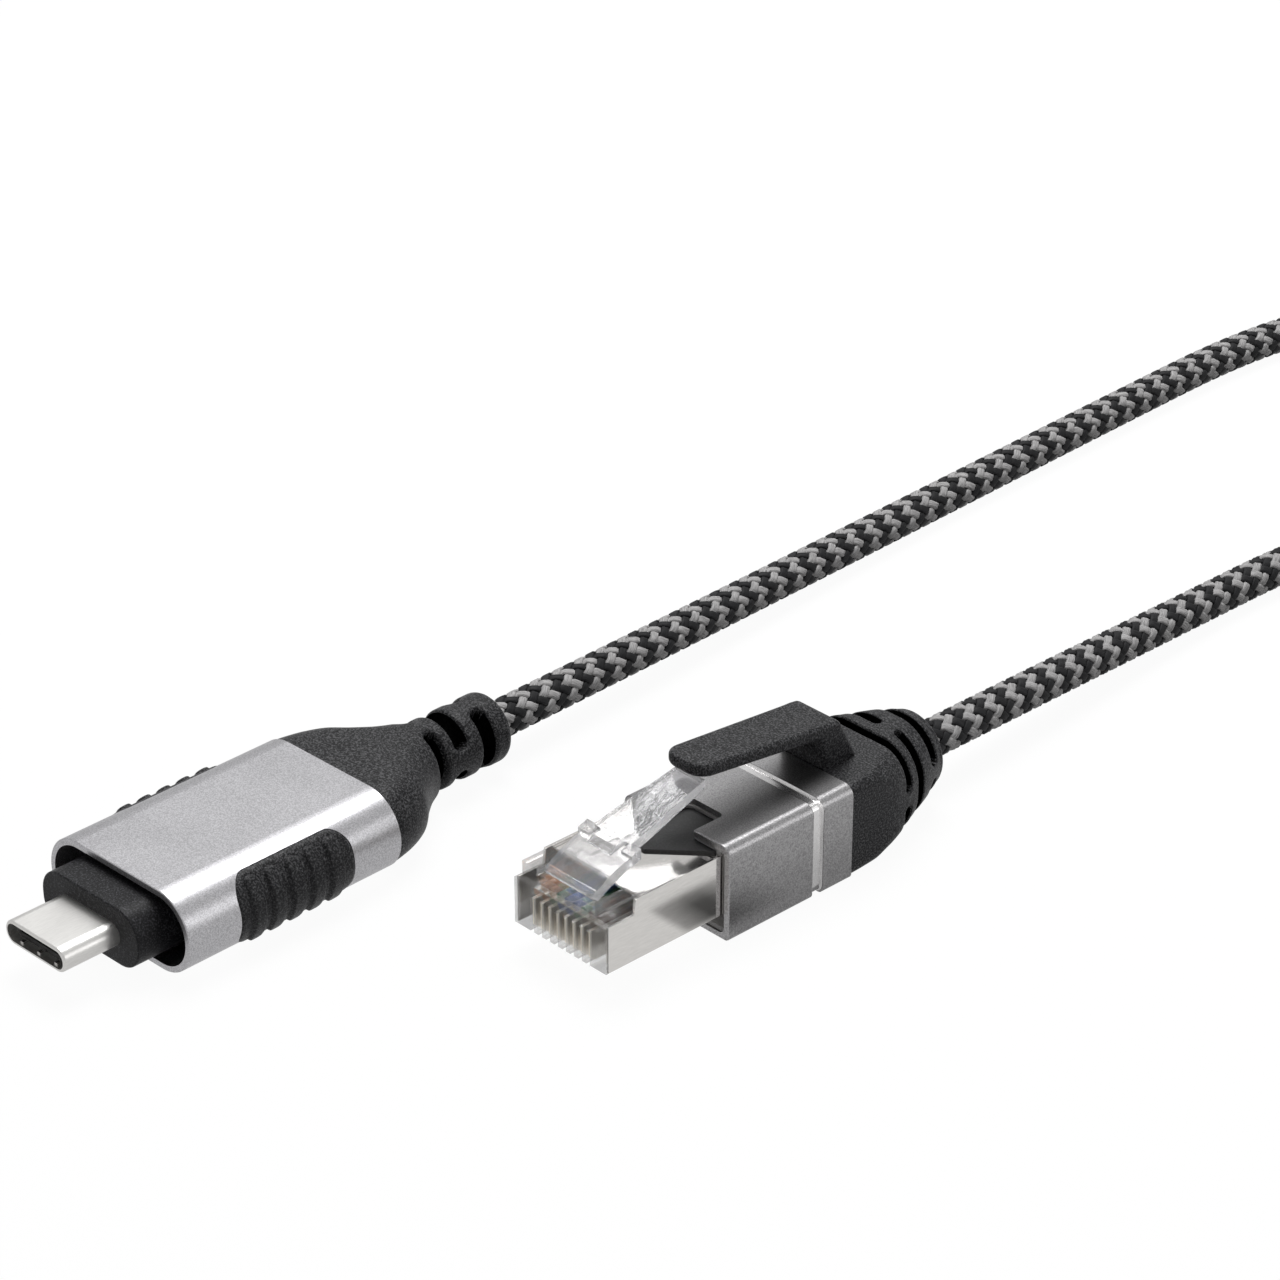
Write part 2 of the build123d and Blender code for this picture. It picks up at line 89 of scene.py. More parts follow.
def nodes_of(name, colour, metallic, roughness):
    """A new material: its node tree, its Principled node and the object's own coordinates."""
    mat = bpy.data.materials.new(name)
    mat.use_nodes = True
    tree = mat.node_tree
    shader = tree.nodes["Principled BSDF"]
    shader.inputs["Base Color"].default_value = (*colour, 1)
    shader.inputs["Metallic"].default_value = metallic
    shader.inputs["Roughness"].default_value = roughness
    place = tree.nodes.new("ShaderNodeTexCoord")
    return mat, tree, shader, place


def noise(tree, vector, size_mm, detail=2.0, rough=0.5):
    """A noise texture whose blotches are about size_mm across."""
    node = tree.nodes.new("ShaderNodeTexNoise")
    node.inputs["Scale"].default_value = 1.0 / (size_mm * MM)
    node.inputs["Detail"].default_value = detail
    node.inputs["Roughness"].default_value = rough
    tree.links.new(vector, node.inputs["Vector"])
    return node.outputs["Fac"]


def ramp(tree, value, stops):
    node = tree.nodes.new("ShaderNodeValToRGB")
    parts = node.color_ramp.elements
    while len(parts) < len(stops):
        parts.new(0.5)
    for part, (at, colour) in zip(parts, stops):
        part.position = at
        part.color = (*colour, 1) if len(colour) == 3 else (colour[0], colour[0], colour[0], 1)
    tree.links.new(value, node.inputs["Fac"])
    return node.outputs["Color"]


def span(tree, value, low, high, at=(0.3, 0.7)):
    """value between the two marks in at, spread from low to high."""
    node = tree.nodes.new("ShaderNodeMapRange")
    node.inputs["From Min"].default_value = at[0]
    node.inputs["From Max"].default_value = at[1]
    node.inputs["To Min"].default_value = low
    node.inputs["To Max"].default_value = high
    tree.links.new(value, node.inputs["Value"])
    return node.outputs["Result"]


def bump(tree, shader, height, depth_mm, strength, before=None):
    node = tree.nodes.new("ShaderNodeBump")
    node.inputs["Distance"].default_value = depth_mm * MM
    node.inputs["Strength"].default_value = strength
    tree.links.new(height, node.inputs["Height"])
    if before is not None:
        tree.links.new(before, node.inputs["Normal"])
    tree.links.new(node.outputs["Normal"], shader.inputs["Normal"])
    return node.outputs["Normal"]


def grained(name, dark, light, roughness, grain_mm, depth_mm, strength, metallic=0.0, speck=(0.45, 0.62),
            shine=0.5):
    """Moulded or blasted surface: fine grain in relief, small lighter specks, slow change in gloss."""
    mat, tree, shader, place = nodes_of(name, dark, metallic, roughness)
    fine = noise(tree, place.outputs["Object"], grain_mm, 3.0, 0.6)
    slow = noise(tree, place.outputs["Object"], 6.0, 1.0)
    tree.links.new(ramp(tree, fine, ((speck[0], dark), (speck[1], light))), shader.inputs["Base Color"])
    drift = 0.012 if metallic else 0.04
    tree.links.new(span(tree, slow, roughness - drift, roughness + drift), shader.inputs["Roughness"])
    bump(tree, shader, fine, depth_mm, strength)
    shader.inputs["Specular IOR Level"].default_value = shine
    return mat


def brushed(name, dark, light, roughness, along, depth_mm=0.004, strength=0.3):
    """Plated or drawn metal with faint lines: along gives how far the noise is stretched on each axis."""
    mat, tree, shader, place = nodes_of(name, dark, 1.0, roughness)
    fit = tree.nodes.new("ShaderNodeMapping")
    fit.inputs["Scale"].default_value = along
    tree.links.new(place.outputs["Object"], fit.inputs["Vector"])
    lines = noise(tree, fit.outputs["Vector"], 0.12, 3.0, 0.6)
    slow = noise(tree, place.outputs["Object"], 3.0, 2.0)
    tree.links.new(ramp(tree, lines, ((0.35, dark), (0.65, light))), shader.inputs["Base Color"])
    tree.links.new(span(tree, slow, roughness - 0.012, roughness + 0.015), shader.inputs["Roughness"])
    bump(tree, shader, lines, depth_mm, strength)
    return mat


def glassy(name, tint, roughness, haze_mm, depth_mm, strength, clear, edge, through):
    """Clear moulded plastic that bends light: see-through face on, whiter at its edges, with faint flow marks."""
    mat, tree, shader, place = nodes_of(name, tint, 0.0, roughness)
    shader.inputs["IOR"].default_value = 1.55
    flow = noise(tree, place.outputs["Object"], haze_mm, 3.0, 0.6)
    dim = tuple(0.92 * c for c in tint)
    tree.links.new(ramp(tree, flow, ((0.3, dim), (0.65, tint))), shader.inputs["Base Color"])
    tree.links.new(span(tree, flow, roughness * 0.6, roughness * 1.5 + 0.01), shader.inputs["Roughness"])
    shader.inputs["Transmission Weight"].default_value = through
    turned = tree.nodes.new("ShaderNodeLayerWeight")
    turned.inputs["Blend"].default_value = 0.5
    total = tree.nodes.new("ShaderNodeMath")
    total.operation = "ADD"
    total.use_clamp = True
    tree.links.new(span(tree, turned.outputs["Facing"], clear, edge, (0.25, 0.9)), total.inputs[0])
    tree.links.new(span(tree, flow, -0.04, 0.05), total.inputs[1])
    tree.links.new(total.outputs["Value"], shader.inputs["Alpha"])
    bump(tree, shader, flow, depth_mm, strength)
    return mat


def yarn(name, dark, light, roughness, sheen):
    """Braid strand: filaments run along it, drawn from its own lengthwise coordinates."""
    mat, tree, shader, place = nodes_of(name, dark, 0.0, roughness)
    way = tree.nodes.new("ShaderNodeUVMap")
    way.uv_map = "strand"
    fit = tree.nodes.new("ShaderNodeMapping")
    fit.inputs["Scale"].default_value = (9.0, 0.9, 1.0)
    tree.links.new(way.outputs["UV"], fit.inputs["Vector"])
    node = tree.nodes.new("ShaderNodeTexNoise")
    node.inputs["Scale"].default_value = 1.0
    node.inputs["Detail"].default_value = 3.0
    tree.links.new(fit.outputs["Vector"], node.inputs["Vector"])
    lines = node.outputs["Fac"]
    tree.links.new(ramp(tree, lines, ((0.34, dark), (0.6, light))), shader.inputs["Base Color"])
    shader.inputs["Specular IOR Level"].default_value = 0.25
    slow = noise(tree, place.outputs["Object"], 2.0, 2.0)
    tree.links.new(span(tree, slow, roughness - 0.08, roughness + 0.08), shader.inputs["Roughness"])
    bump(tree, shader, lines, 0.03, 0.5)
    shader.inputs["Sheen Weight"].default_value = sheen
    return mat


MATERIALS = {}


def add(maker, name, *values, **settings):
    MATERIALS[name] = maker(name, *values, **settings)


add(brushed, "nickel_shell", (0.74, 0.73, 0.71), (0.80, 0.79, 0.77), 0.33, (1.0, 0.12, 1.0), depth_mm=0.001,
    strength=0.12)
add(grained, "black_insert", (0.012, 0.012, 0.013), (0.03, 0.03, 0.03), 0.5, 0.12, 0.01, 0.3)
add(brushed, "gold_plate", (0.80, 0.74, 0.64), (0.90, 0.86, 0.78), 0.30, (1.0, 0.2, 1.0))
add(brushed, "spring_steel", (0.62, 0.61, 0.60), (0.75, 0.74, 0.73), 0.22, (1.0, 0.2, 1.0))
add(grained, "black_collar", (0.004, 0.004, 0.005), (0.10, 0.10, 0.11), 0.46, 0.17, 0.04, 0.8, speck=(0.5, 0.7),
    shine=0.22)
add(grained, "silver_aluminium", (0.41, 0.405, 0.42), (0.62, 0.615, 0.635), 0.33, 0.13, 0.012, 0.45,
    metallic=1.0, speck=(0.40, 0.60))
add(grained, "black_rubber", (0.004, 0.004, 0.005), (0.165, 0.165, 0.172), 0.40, 0.18, 0.06, 1.0,
    speck=(0.46, 0.70), shine=0.22)
add(grained, "board_laminate", (0.006, 0.07, 0.03), (0.01, 0.12, 0.05), 0.3, 0.4, 0.01, 0.3)
add(grained, "chip_resin", (0.012, 0.012, 0.012), (0.03, 0.03, 0.03), 0.5, 0.1, 0.01, 0.3)
add(brushed, "tin_plate", (0.55, 0.55, 0.54), (0.68, 0.68, 0.67), 0.32, (1.0, 0.3, 1.0))
add(grained, "ceramic", (0.24, 0.16, 0.09), (0.36, 0.26, 0.16), 0.4, 0.15, 0.01, 0.3)
add(grained, "black_boot", (0.004, 0.004, 0.005), (0.165, 0.165, 0.172), 0.42, 0.18, 0.05, 0.9,
    speck=(0.46, 0.70), shine=0.18)
add(glassy, "clear_plastic", (0.92, 0.92, 0.93), 0.05, 1.6, 0.04, 0.3, 0.25, 0.80, 0.9)
add(glassy, "clear_latch", (0.97, 0.97, 0.99), 0.08, 1.6, 0.06, 0.5, 0.75, 1.0, 0.85)
# painted highlight: whiter, more opaque copies of the clear plastics, put on the small rounds so their edges show
# as bright lines
add(glassy, "clear_rim", (0.97, 0.97, 0.98), 0.10, 1.2, 0.02, 0.2, 0.62, 0.9, 0.6)
add(glassy, "latch_rim", (0.99, 0.99, 1.0), 0.10, 1.2, 0.02, 0.2, 0.95, 1.0, 0.6)
add(grained, "orange_wire", (0.55, 0.20, 0.05), (0.70, 0.33, 0.12), 0.35, 0.6, 0.01, 0.2)
add(grained, "green_wire", (0.02, 0.16, 0.05), (0.05, 0.25, 0.09), 0.35, 0.6, 0.01, 0.2)
add(grained, "blue_wire", (0.02, 0.10, 0.40), (0.05, 0.17, 0.52), 0.35, 0.6, 0.01, 0.2)
add(grained, "brown_wire", (0.10, 0.045, 0.02), (0.18, 0.09, 0.05), 0.35, 0.6, 0.01, 0.2)
add(brushed, "polished_nickel", (0.81, 0.79, 0.765), (0.87, 0.85, 0.825), 0.095, (1.0, 0.1, 1.0),
    depth_mm=0.001, strength=0.12)
add(grained, "grey_plastic", (0.34, 0.335, 0.335), (0.42, 0.415, 0.415), 0.35, 0.2, 0.01, 0.3)
add(grained, "gunmetal_aluminium", (0.26, 0.255, 0.26), (0.46, 0.455, 0.46), 0.32, 0.13, 0.012, 0.45,
    metallic=1.0, speck=(0.38, 0.62))
add(brushed, "cut_edge", (0.78, 0.77, 0.77), (0.88, 0.87, 0.87), 0.26, (0.3, 1.0, 0.3), strength=0.08)
# painted shade: near-black, matt and without shine, for the beds and walls of the moulded slots, where shade falls
add(grained, "black_void", (0.0015, 0.0015, 0.0015), (0.004, 0.004, 0.004), 0.9, 0.3, 0.02, 0.3, shine=0.0)
add(yarn, "yarn_light", (0.26, 0.255, 0.255), (0.66, 0.65, 0.65), 0.55, 0.2)
add(yarn, "yarn_dark", (0.004, 0.004, 0.005), (0.020, 0.020, 0.022), 0.62, 0.0)
add(grained, "cable_bed", (0.006, 0.006, 0.007), (0.02, 0.02, 0.02), 0.7, 0.3, 0.05, 0.5)


def dress_nodes():
    """Every CAD node that stays gets the material of its slot in the record."""
    for part in frame["record"]["subparts"]:
        node = NODES[part["node"]]
        look = MATERIALS.get(part["material_slot"])
        if part["node"] == "rj_latch":
            look = MATERIALS["clear_latch"]
        if look is None:
            continue
        if not node.data.materials:
            node.data.materials.append(look)
        for slot in node.material_slots:
            slot.material = look


dress_nodes()


WELD_MM = 0.002
SHARP_DEGREES = 40.0


def soften(node, width_mm, rim=None):
    """Small rounds on a CAD node's sharp edges, in a material of their own if rim names one: a whiter, less clear
    copy of the plastic, a painted highlight along the edges.
    """
    obj = NODES[node]
    weld = obj.modifiers.new("weld", "WELD")
    weld.merge_threshold = WELD_MM * MM
    edge = obj.modifiers.new("edge", "BEVEL")
    edge.width = width_mm * MM
    edge.segments = 2
    edge.limit_method = "ANGLE"
    edge.angle_limit = math.radians(SHARP_DEGREES)
    edge.use_clamp_overlap = True
    if rim:
        obj.data.materials.append(MATERIALS[rim])
        edge.material = len(obj.data.materials) - 1


soften("rj_plug_body", 0.09, "clear_rim")
soften("rj_latch", 0.13, "latch_rim")
soften("rj_contacts", 0.04)
soften("rj_shield", 0.05)
soften("rj_inner_frame", 0.06)
soften("rj_inner_core", 0.06)
soften("usb_plug_insert", 0.05)


# ------------------------------------------------------------------ cable line

COIL_X = 38.8
COIL_Y = 142.1
FLOOR_Z = 1.92
STACK_Z = 5.21
USB_RUN = [(-13.70, -3.18, 4.05), (-14.62, 22.9, 4.05), (-19.6, 69.6, 1.92), (-21.64, 106.5, 1.92),
           (-23.4, 142.5, 1.92), (-15.5, 161.2, 1.92), (4.0, 167.5, 1.92), (21.6, 167.0, 1.92)]
RJ_RUN = [(16.76, 28.99, 4.8), (16.76, 48.1, 4.8), (13.7, 81.6, 1.92), (13.8, 101.2, 1.92), (20.0, 112.6, 3.6),
          (32.0, 119.0, 5.21)]
RINGS = (24.8, 21.0, 17.2, 19.1, 22.9)
TURNS = 4.5
POINTS_PER_TURN = 16
STEP_ACROSS = 0.3   # part of a turn in which the cable crosses to the next ring


def coil_points():
    """Four and a half turns, clockwise from the top: three rings on the floor, two in the furrows above."""
    points = []
    early = STEP_ACROSS / 2
    for k in range(1, int(TURNS * POINTS_PER_TURN)):
        turns = k / POINTS_PER_TURN
        ring = min(int(turns + early), len(RINGS) - 1)
        step = (turns + early) - ring
        ease = 1.0
        if ring > 0 and step < STEP_ACROSS:
            s = step / STEP_ACROSS
            ease = s * s * (3 - 2 * s)
        before = RINGS[max(ring - 1, 0)]
        r = before + (RINGS[ring] - before) * ease
        low = FLOOR_Z if ring - 1 < 3 else STACK_Z
        high = FLOOR_Z if ring < 3 else STACK_Z
        z = low + (high - low) * ease
        a = math.pi / 2 - 2 * math.pi * turns
        points.append((COIL_X + r * math.cos(a), COIL_Y + r * math.sin(a), z))
    return points


def cable_curve():
    points = USB_RUN + coil_points() + list(reversed(RJ_RUN))
    data = bpy.data.curves.new("cable_line", "CURVE")
    data.dimensions = "3D"
    spline = data.splines.new("NURBS")
    spline.points.add(len(points) - 1)
    for p, co in zip(spline.points, points):
        p.co = (co[0] * MM, co[1] * MM, co[2] * MM, 1.0)
    spline.order_u = 3
    spline.use_endpoint_u = True
    spline.resolution_u = 8
    obj = bpy.data.objects.new("cable_line", data)
    bpy.context.collection.objects.link(obj)
    mesh = bpy.data.meshes.new_from_object(obj)
    line = np.array([v.co for v in mesh.vertices], float)
    bpy.data.meshes.remove(mesh)
    bpy.data.objects.remove(obj)
    return line


CABLE_LINE = cable_curve()
ALONG = np.concatenate([[0], np.cumsum(np.linalg.norm(np.diff(CABLE_LINE, axis=0), axis=1))])
CABLE_LENGTH = float(ALONG[-1])

FRAME_STEP = 0.2 * MM
FRAME_AT = np.arange(0, CABLE_LENGTH + FRAME_STEP, FRAME_STEP)


def line_frames():
    """Centre, up and side vectors every FRAME_STEP along the cable."""
    centre = np.stack([np.interp(FRAME_AT, ALONG, CABLE_LINE[:, k]) for k in range(3)], 1)
    tangent = np.gradient(centre, axis=0)
    window = np.ones(9) / 9
    padded = np.pad(tangent, ((4, 4), (0, 0)), mode="edge")
    tangent = np.stack([np.convolve(padded[:, k], window, "valid") for k in range(3)], 1)
    tangent /= np.linalg.norm(tangent, axis=1)[:, None]
    up = np.array([0.0, 0.0, 1.0]) - tangent * tangent[:, 2:3]
    up /= np.linalg.norm(up, axis=1)[:, None]
    return centre, up, np.cross(tangent, up)


CENTRE, UP, SIDE = line_frames()


def on_cable(along, angle, radius):
    """Points at a distance along the cable, an angle from its top towards its right side, and a radius."""
    at = np.clip(along, 0, CABLE_LENGTH)
    centre, up, side = (np.stack([np.interp(at, FRAME_AT, table[:, k]) for k in range(3)], -1)
                        for table in (CENTRE, UP, SIDE))
    ring = up * np.cos(angle)[..., None] + side * np.sin(angle)[..., None]
    return centre + ring * radius[..., None]


def mesh_object(name, points, faces, material_index=None, materials=(), uv=None):
    mesh = bpy.data.meshes.new(name)
    mesh.vertices.add(len(points))
    mesh.vertices.foreach_set("co", np.asarray(points, np.float32).ravel())
    mesh.loops.add(faces.size)
    mesh.loops.foreach_set("vertex_index", faces.astype(np.int32).ravel())
    mesh.polygons.add(len(faces))
    mesh.polygons.foreach_set("loop_start", np.arange(0, faces.size, faces.shape[1], dtype=np.int32))
    for m in materials:
        mesh.materials.append(m)
    if material_index is not None:
        mesh.polygons.foreach_set("material_index", material_index.astype(np.int32))
    if uv is not None:
        layer = mesh.uv_layers.new(name="strand")
        layer.data.foreach_set("uv", uv[faces.ravel()].astype(np.float32).ravel())
    mesh.update(calc_edges=True)
    mesh.polygons.foreach_set("use_smooth", np.full(len(faces), True))
    mesh.validate()
    obj = bpy.data.objects.new(name, mesh)
    bpy.context.collection.objects.link(obj)
    return obj


# ------------------------------------------------------------------ braided sleeve of the cable

CARRIERS = 14
LAY = 21.5 * MM
BRAID_PHASE = math.radians(2.64)
STRAND_MID = 1.575 * MM
STRAND_SWING = 0.16 * MM
STRAND_RISE = 0.165 * MM
LEAN = math.radians(36.0)
CROSSWISE = 0.21 * MM
HALF_STRAND = 0.5 * LAY / CARRIERS * math.sin(LEAN) * 0.98
ARC_RADIUS = 1.8 * MM
FINE_SECTION = ((-1.0, -0.35), (-0.80, 0.60), (-0.42, 1.0), (0.0, 0.78), (0.42, 1.0), (0.80, 0.60),
                (1.0, -0.35), (0.0, -0.9))
COARSE_SECTION = ((-1.0, -0.1), (0.0, 1.0), (1.0, -0.1), (0.0, -0.8))


def braid(name, start, end, step, section):
    """Two-over-two braid of flat strands, alternately light and dark, between two distances along the cable."""
    count = int((end - start) / step) + 1
    along = np.linspace(start, end, count)
    side = np.array([p[0] for p in section])
    rise = np.array([p[1] for p in section])
    n = len(section)
    points, uvs, faces, shades = [], [], [], []
    base = 0
    for turn in (1, -1):
        for k in range(CARRIERS):
            lateral = side[None, :] * HALF_STRAND
            middle = BRAID_PHASE + 2 * math.pi * k / CARRIERS + turn * 2 * math.pi * along[:, None] / LAY
            phase = math.pi / 2 * ((middle - BRAID_PHASE) * CARRIERS / math.pi - 0.5)
            s = along[:, None] - CROSSWISE * np.sin(phase) - turn * lateral * math.sin(LEAN)
            angle = middle + lateral * math.cos(LEAN) / ARC_RADIUS
            over = np.clip(2.0 * turn * np.cos(phase), -1, 1)
            over = over * (1.5 - 0.5 * over * over)   # dwells on top and below
            radius = STRAND_MID + STRAND_SWING * over + STRAND_RISE * rise[None, :]
            points.append(on_cable(s, angle, radius).reshape(-1, 3))
            v = np.broadcast_to(along[:, None] / MM + 7.3 * k, (count, n))
            u = np.broadcast_to(side[None, :] + 3.1 * k, (count, n))
            uvs.append(np.stack([u, v], -1).reshape(-1, 2))
            i = np.arange(count - 1)[:, None] * n
            j = np.arange(n)[None, :]
            a = base + i + j
            b = base + i + (j + 1) % n
            faces.append(np.stack([a, b, b + n, a + n], -1).reshape(-1, 4))
            shades.append(np.full(len(faces[-1]), (k + (turn < 0)) % 2))
            base += count * n
    yarns = (MATERIALS["yarn_light"], MATERIALS["yarn_dark"])
    obj = mesh_object(name, np.concatenate(points), np.concatenate(faces), np.concatenate(shades), yarns,
                      np.concatenate(uvs))
    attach(obj, BODY)
    return obj


def tube(name, along, radius, sides, material):
    """Closed round tube along the cable."""
    angle = 2 * math.pi * np.arange(sides) / sides
    grid = on_cable(np.repeat(along[:, None], sides, 1), np.repeat(angle[None, :], len(along), 0),
                    np.full((len(along), sides), radius))
    i = np.arange(len(along) - 1)[:, None] * sides
    j = np.arange(sides)[None, :]
    a = i + j
    b = i + (j + 1) % sides
    faces = np.stack([a, b, b + sides, a + sides], -1).reshape(-1, 4)
    return mesh_object(name, grid.reshape(-1, 3), faces, None, (material,))


BED_RADIUS = 1.5 * MM
FINE_STEP = 0.32 * MM
COIL_STEP = 0.66 * MM


def make_cable():
    bed = tube("cable", np.linspace(0, CABLE_LENGTH, 900), BED_RADIUS, 12, MATERIALS["cable_bed"])
    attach(bed, BODY)
    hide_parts("cable_run_usb", "cable_coil", "cable_run_rj")
    start, usb_middle, usb_end = 4 * MM, 110 * MM, 215 * MM
    rj_start, end = CABLE_LENGTH - 108 * MM, CABLE_LENGTH - 2 * MM
    sleeves = [braid("braid_usb_near", start, usb_middle, FINE_STEP, FINE_SECTION),
               braid("braid_usb_far", usb_middle, usb_end, FINE_STEP, FINE_SECTION),
               braid("braid_coil", usb_end, rj_start, COIL_STEP, COARSE_SECTION),
               braid("braid_rj_run", rj_start, end, FINE_STEP, FINE_SECTION)]


make_cable()


# ------------------------------------------------------------------ moulded and cut parts round the plugs

def row_at(rows, y):
    """A row of a table at y, on cubics that never pass beyond the rows on either side."""
    steps = [[(b[c] - a[c]) / (b[0] - a[0]) for c in range(1, len(a))] for a, b in zip(rows, rows[1:])]
    k = max(i for i in range(len(steps)) if rows[i][0] <= y + 1e-9)
    reach = rows[k + 1][0] - rows[k][0]
    t = (y - rows[k][0]) / reach
    out = []
    for c in range(len(rows[0]) - 1):
        here = steps[k][c]
        before = steps[k - 1][c] if k > 0 else 0
        after = steps[k + 1][c] if k + 1 < len(steps) else here
        m0 = 2 * before * here / (before + here) if before * here > 0 else 0
        m1 = 2 * after * here / (after + here) if after * here > 0 else 0
        a, b = rows[k][c + 1], rows[k + 1][c + 1]
        out.append(a * (1 + 2 * t) * (1 - t) ** 2 + m0 * reach * t * (1 - t) ** 2
                   + b * t * t * (3 - 2 * t) + m1 * reach * t * t * (t - 1))
    return out


def section_radius(angle, half_w, half_h, r):
    """Distance from the middle to a rounded rectangle's outline, by angle from its right side upwards."""
    c = np.maximum(np.abs(np.cos(angle)), 1e-9)
    s = np.maximum(np.abs(np.sin(angle)), 1e-9)
    a, b = half_w - r, half_h - r
    ahead = a * c + b * s
    corner = ahead + np.sqrt(np.maximum(ahead ** 2 - (a * a + b * b - r * r), 0))
    return np.where(half_w / c * s <= b, half_w / c, np.where(half_h / s * c <= a, half_h / s, corner))


def turned_skin(name, y, radius, z, place, material, void):
    """Closed skin through rings of radii about an axis along Y, each ring at its own y; faces whose corners are
    all marked get the near-black matt material, painted shade.
    """
    n = radius.shape[1]
    angle = 2 * math.pi * np.arange(n) / n
    points = np.stack([radius * np.cos(angle), np.repeat(y[:, None], n, 1), z + radius * np.sin(angle)], -1)
    points = points.reshape(-1, 3)
    i = np.arange(len(y) - 1)[:, None] * n
    j = np.arange(n)[None, :]
    quads = np.stack([i + j, i + n + j, i + n + (j + 1) % n, i + (j + 1) % n], -1).reshape(-1, 4)
    bm = bmesh.new()
    verts = [bm.verts.new(p) for p in points]
    dark = void.reshape(-1)[quads].all(axis=1)
    for q, deep in zip(quads, dark):
        face = bm.faces.new([verts[k] for k in q])
        face.smooth = True
        face.material_index = int(deep)
    bm.faces.new(verts[:n])
    bm.faces.new(list(reversed(verts[-n:])))
    bmesh.ops.recalc_face_normals(bm, faces=bm.faces)
    mesh = bpy.data.meshes.new(name)
    bm.to_mesh(mesh)
    bm.free()
    mesh.transform(place @ Matrix.Scale(MM, 4))
    mesh.materials.append(material)
    mesh.materials.append(MATERIALS["black_void"])
    obj = bpy.data.objects.new(name, mesh)
    bpy.context.collection.objects.link(obj)
    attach(obj, BODY)
    return obj


AROUND = 192
RING_STEP_MM = 0.12


def slotted(name, rows, tip_radius, tip_start, tip_end, tip_round, neck_in, slots, edge_round, z, place, hole):
    """Moulding drawn in to a round neck, with rounded slots across it; inside its front end it steps in.

    A slot is its place along Y, its width, the radius of its bed, the angle of its middle and half its angle;
    each has a twin on the other side.
    """
    angle = 2 * math.pi * np.arange(AROUND) / AROUND
    y_list = list(np.arange(rows[0][0], tip_end - tip_round, RING_STEP_MM))
    y_list += list(tip_end - tip_round + tip_round * np.sin(np.linspace(0, math.pi / 2, 8)))
    rings = []
    for y in y_list:
        if y < tip_start:
            w, h, r = row_at(rows, min(y, rows[-1][0]))
            ring = section_radius(angle, w / 2, h / 2, min(r, h / 2 - 0.02))
        else:
            back = max(y - (tip_end - tip_round), 0.0)
            ring = np.full(AROUND, tip_radius - tip_round + math.sqrt(max(tip_round ** 2 - back ** 2, 0.0)))
        rings.append(ring)
    y = np.array(y_list)
    radius = np.array(rings)
    blend_zone = np.abs(y - tip_start) < 0.9
    for _ in range(3):
        smooth = radius.copy()
        smooth[1:-1] = (radius[:-2] + radius[1:-1] * 2 + radius[2:]) / 4
        radius[blend_zone] = smooth[blend_zone]
    void = np.zeros(radius.shape, bool)
    for at, width, deep, centre, half in slots:
        for middle in (centre, centre + 180.0):
            off = np.abs((np.degrees(angle) - middle + 180) % 360 - 180)
            side = radius * np.radians(np.maximum(off - half, 0))[None, :]
            reach = np.hypot((y - at)[:, None], side) - width / 2
            over = edge_round - np.clip(reach, 0, edge_round)
            cut = edge_round - np.sqrt(edge_round ** 2 - over ** 2) + np.maximum(-reach, 0) * 14
            # faces in the slot and just past its edge are marked for the near-black material: painted shade in the
            # slot
            void |= reach < 0.07
            radius = np.maximum(radius - cut, np.minimum(radius, deep))
    inset = section_radius(angle, *neck_in)
    front = rows[0][0]
    y = np.concatenate([[front - 1.8, front - 0.02], y, [tip_end, tip_end - 0.3]])
    lip = np.full((2, AROUND), hole)
    radius = np.concatenate([[inset, inset], radius, lip])
    edge_rows = np.zeros((2, AROUND), bool)
    void = np.concatenate([edge_rows, void, edge_rows])
    return turned_skin(name, y, radius, z, place, MATERIALS["black_boot"], void)


def make_relief():
    rows = ((33.6, 18.9, 7.9), (35.6, 18.2, 7.9), (38.0, 16.3, 7.9), (40.0, 12.9, 7.7), (42.0, 9.9, 7.45),
            (43.6, 8.2, 7.35), (45.2, 7.1, 7.1))
    rows = tuple((y, w, h, h / 2 - 0.05) for y, w, h in rows)
    slots = ((44.4, 1.5, 2.1, 0.0, 58.0), (47.2, 1.5, 2.1, 90.0, 58.0), (50.45, 1.5, 2.1, 0.0, 58.0))
    obj = slotted("strain_relief", rows, 3.5, 45.2, 53.45, 0.85, (8.95, 3.4, 3.35), slots, 0.42, 4.05, USB_PLACE,
                  1.6)
    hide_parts("usb_strain_relief")


def make_boot():
    rows = ((29.2, 13.3, 9.5, 0.9), (32.5, 13.3, 9.5, 1.2), (34.6, 13.2, 9.5, 2.2), (36.8, 12.6, 9.4, 3.2),
            (38.6, 11.7, 9.5, 4.2), (40.4, 10.6, 9.3, 4.4), (42.2, 9.2, 8.8, 4.2), (43.6, 8.0, 8.0, 3.9))
    slots = ((37.1, 1.0, 3.0, 90.0, 78.0), (39.35, 1.0, 3.0, -14.0, 73.0), (42.3, 1.15, 2.4, 90.0, 73.0))
    obj = slotted("boot", rows, 3.95, 43.6, 44.3, 0.5, (6.0, 4.1, 0.6), slots, 0.2, 4.8, RJ_PLACE, 1.6)
    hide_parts("rj_boot")


